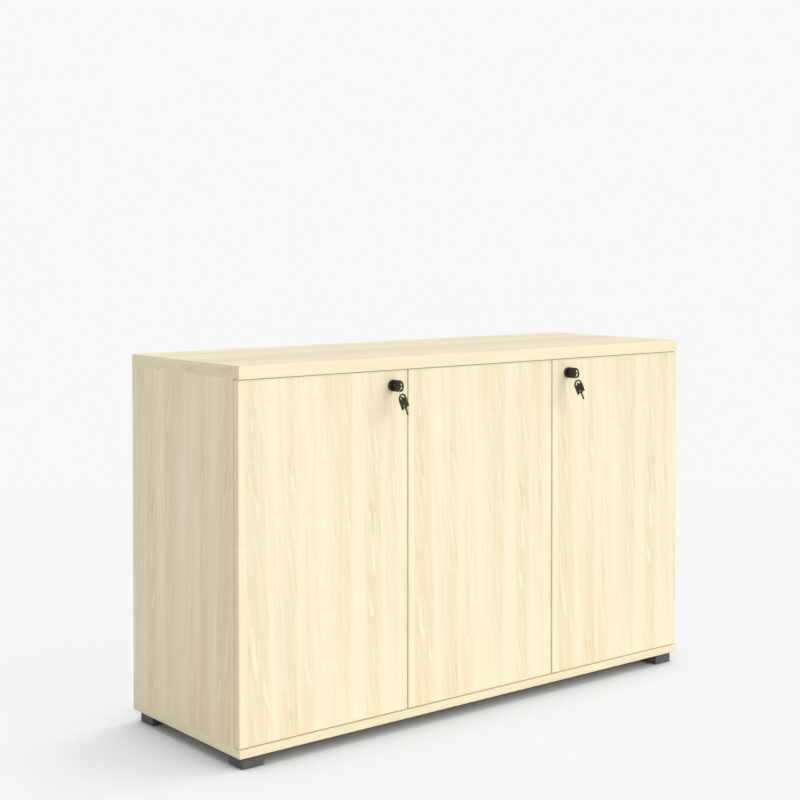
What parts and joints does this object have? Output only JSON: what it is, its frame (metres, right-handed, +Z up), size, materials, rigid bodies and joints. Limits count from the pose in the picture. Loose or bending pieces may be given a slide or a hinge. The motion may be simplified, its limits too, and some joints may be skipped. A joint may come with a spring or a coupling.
{
  "type": "low cabinet",
  "caption": "Low office cabinet on block feet, with overlay doors on cup hinges, cam locks with hanging keys, shelves and a slide bolt.",
  "frame": {"origin": "on the floor, under the middle of the whole object's box with the hanging keys; the cabinet's own middle lies 21 mm behind it", "axes": "+X to the right seen from the front, +Y to the back, +Z up"},
  "size_m": [1.2, 0.4484, 0.75],
  "materials": {
    "maple_laminate": "pale maple decor laminate, satin",
    "back_board": "thin laminated board, matt",
    "grey_plastic": "moulded, dark grey, matt",
    "nickel_steel": "nickel-plated steel",
    "zinc_steel": "zinc-plated steel",
    "beech_dowel": "fluted beech, raw",
    "black_lock": "black, semi-matt",
    "black_plastic": "moulded, black, satin",
    "key_brass": "plated brass, dull"
  },
  "bodies": {
    "carcass": {"top_panel": "maple_laminate", "bottom_panel": "maple_laminate", "left_side_panel": "maple_laminate", "right_side_panel": "maple_laminate", "partition_panel": "maple_laminate", "back_panel": "back_board", "left_shelf": "maple_laminate", "right_shelf": "maple_laminate", "shelf_pins": "nickel_steel", "cam_fittings": "zinc_steel", "tie_bolts": "zinc_steel", "wood_dowels": "beech_dowel", "front_left_foot": "grey_plastic", "front_right_foot": "grey_plastic", "rear_left_foot": "grey_plastic", "rear_right_foot": "grey_plastic", "foot_screws": "zinc_steel", "hinge_arms": "nickel_steel", "hinge_plates": "nickel_steel", "hinge_plate_screws": "zinc_steel", "hinge_arm_screws": "zinc_steel", "left_strike_plate": "zinc_steel", "right_strike_plate": "zinc_steel", "strike_plate_screws": "zinc_steel"},
    "middle_door": {"middle_door": "maple_laminate", "middle_hinge_cups": "nickel_steel", "middle_hinge_pins": "nickel_steel", "middle_cup_screws": "zinc_steel", "door_bolt_case": "black_lock", "door_bolt_screws": "zinc_steel"},
    "door_bolt": {"door_bolt": "zinc_steel"},
    "left_door": {"left_door": "maple_laminate", "left_hinge_cups": "nickel_steel", "left_hinge_pins": "nickel_steel", "left_cup_screws": "zinc_steel", "left_lock_barrel": "black_lock", "left_lock_nut": "zinc_steel"},
    "left_lock": {"left_lock_plug": "black_lock", "left_lock_cam": "zinc_steel", "left_cam_screw": "zinc_steel", "left_key_head": "black_plastic", "left_key_blade": "key_brass"},
    "left_key_ring": {"left_key_ring": "nickel_steel"},
    "left_spare_key": {"left_spare_key_head": "black_plastic"},
    "left_spare_blade": {"left_spare_key_blade": "key_brass"},
    "right_door": {"right_door": "maple_laminate", "right_hinge_cups": "nickel_steel", "right_hinge_pins": "nickel_steel", "right_cup_screws": "zinc_steel", "right_lock_barrel": "black_lock", "right_lock_nut": "zinc_steel"},
    "right_lock": {"right_lock_plug": "black_lock", "right_lock_cam": "zinc_steel", "right_cam_screw": "zinc_steel", "right_key_head": "black_plastic", "right_key_blade": "key_brass"},
    "right_key_ring": {"right_key_ring": "nickel_steel"},
    "right_spare_key": {"right_spare_key_head": "black_plastic"},
    "right_spare_blade": {"right_spare_key_blade": "key_brass"}
  },
  "joints": [
    {"name": "left_door_swing", "type": "hinge", "parent": "carcass", "child": "left_door", "pos_m": [-0.594, -0.16547, 0.3825], "axis": [0, 0, -1], "range_deg": [0, 95]},
    {"name": "middle_door_swing", "type": "hinge", "parent": "carcass", "child": "middle_door", "pos_m": [-0.1925, -0.16547, 0.3825], "axis": [0, 0, -1], "range_deg": [0, 95]},
    {"name": "right_door_swing", "type": "hinge", "parent": "carcass", "child": "right_door", "pos_m": [0.594, -0.16547, 0.3825], "axis": [0, 0, 1], "range_deg": [0, 95]},
    {"name": "door_bolt_slide", "type": "slide", "parent": "middle_door", "child": "door_bolt", "axis": [0, 0, 1], "range_m": [0, 0.012]},
    {"name": "left_lock_turn", "type": "hinge", "parent": "left_door", "child": "left_lock", "pos_m": [-0.2395, -0.17227, 0.6937], "axis": [0, 1, 0], "range_deg": [0, 90]},
    {"name": "left_ring_hang", "type": "hinge", "parent": "left_lock", "child": "left_key_ring", "pos_m": [-0.2395, -0.20127, 0.68515], "axis": [0, 1, 0], "range_deg": [-90, 0]},
    {"name": "left_spare_key_swing", "type": "hinge", "parent": "left_key_ring", "child": "left_spare_key", "pos_m": [-0.2395, -0.20127, 0.67543], "axis": [-1, 0, 0], "range_deg": [-45, 38]},
    {"name": "left_spare_key_fold", "type": "hinge", "parent": "left_spare_key", "child": "left_spare_blade", "pos_m": [-0.2395, -0.21223, 0.65566], "axis": [-1, 0, 0], "range_deg": [-90, 90]},
    {"name": "right_lock_turn", "type": "hinge", "parent": "right_door", "child": "right_lock", "pos_m": [0.247, -0.17227, 0.6937], "axis": [0, -1, 0], "range_deg": [0, 90]},
    {"name": "right_ring_hang", "type": "hinge", "parent": "right_lock", "child": "right_key_ring", "pos_m": [0.247, -0.20127, 0.68515], "axis": [0, -1, 0], "range_deg": [-90, 0]},
    {"name": "right_spare_key_swing", "type": "hinge", "parent": "right_key_ring", "child": "right_spare_key", "pos_m": [0.247, -0.20127, 0.67543], "axis": [-1, 0, 0], "range_deg": [-45, 38]},
    {"name": "right_spare_key_fold", "type": "hinge", "parent": "right_spare_key", "child": "right_spare_blade", "pos_m": [0.247, -0.21223, 0.65566], "axis": [-1, 0, 0], "range_deg": [-90, 90]}
  ],
  "couplings": [
    {"joint": "left_ring_hang", "follows": "left_lock_turn", "ratio": -1},
    {"joint": "right_ring_hang", "follows": "right_lock_turn", "ratio": -1}
  ]
}
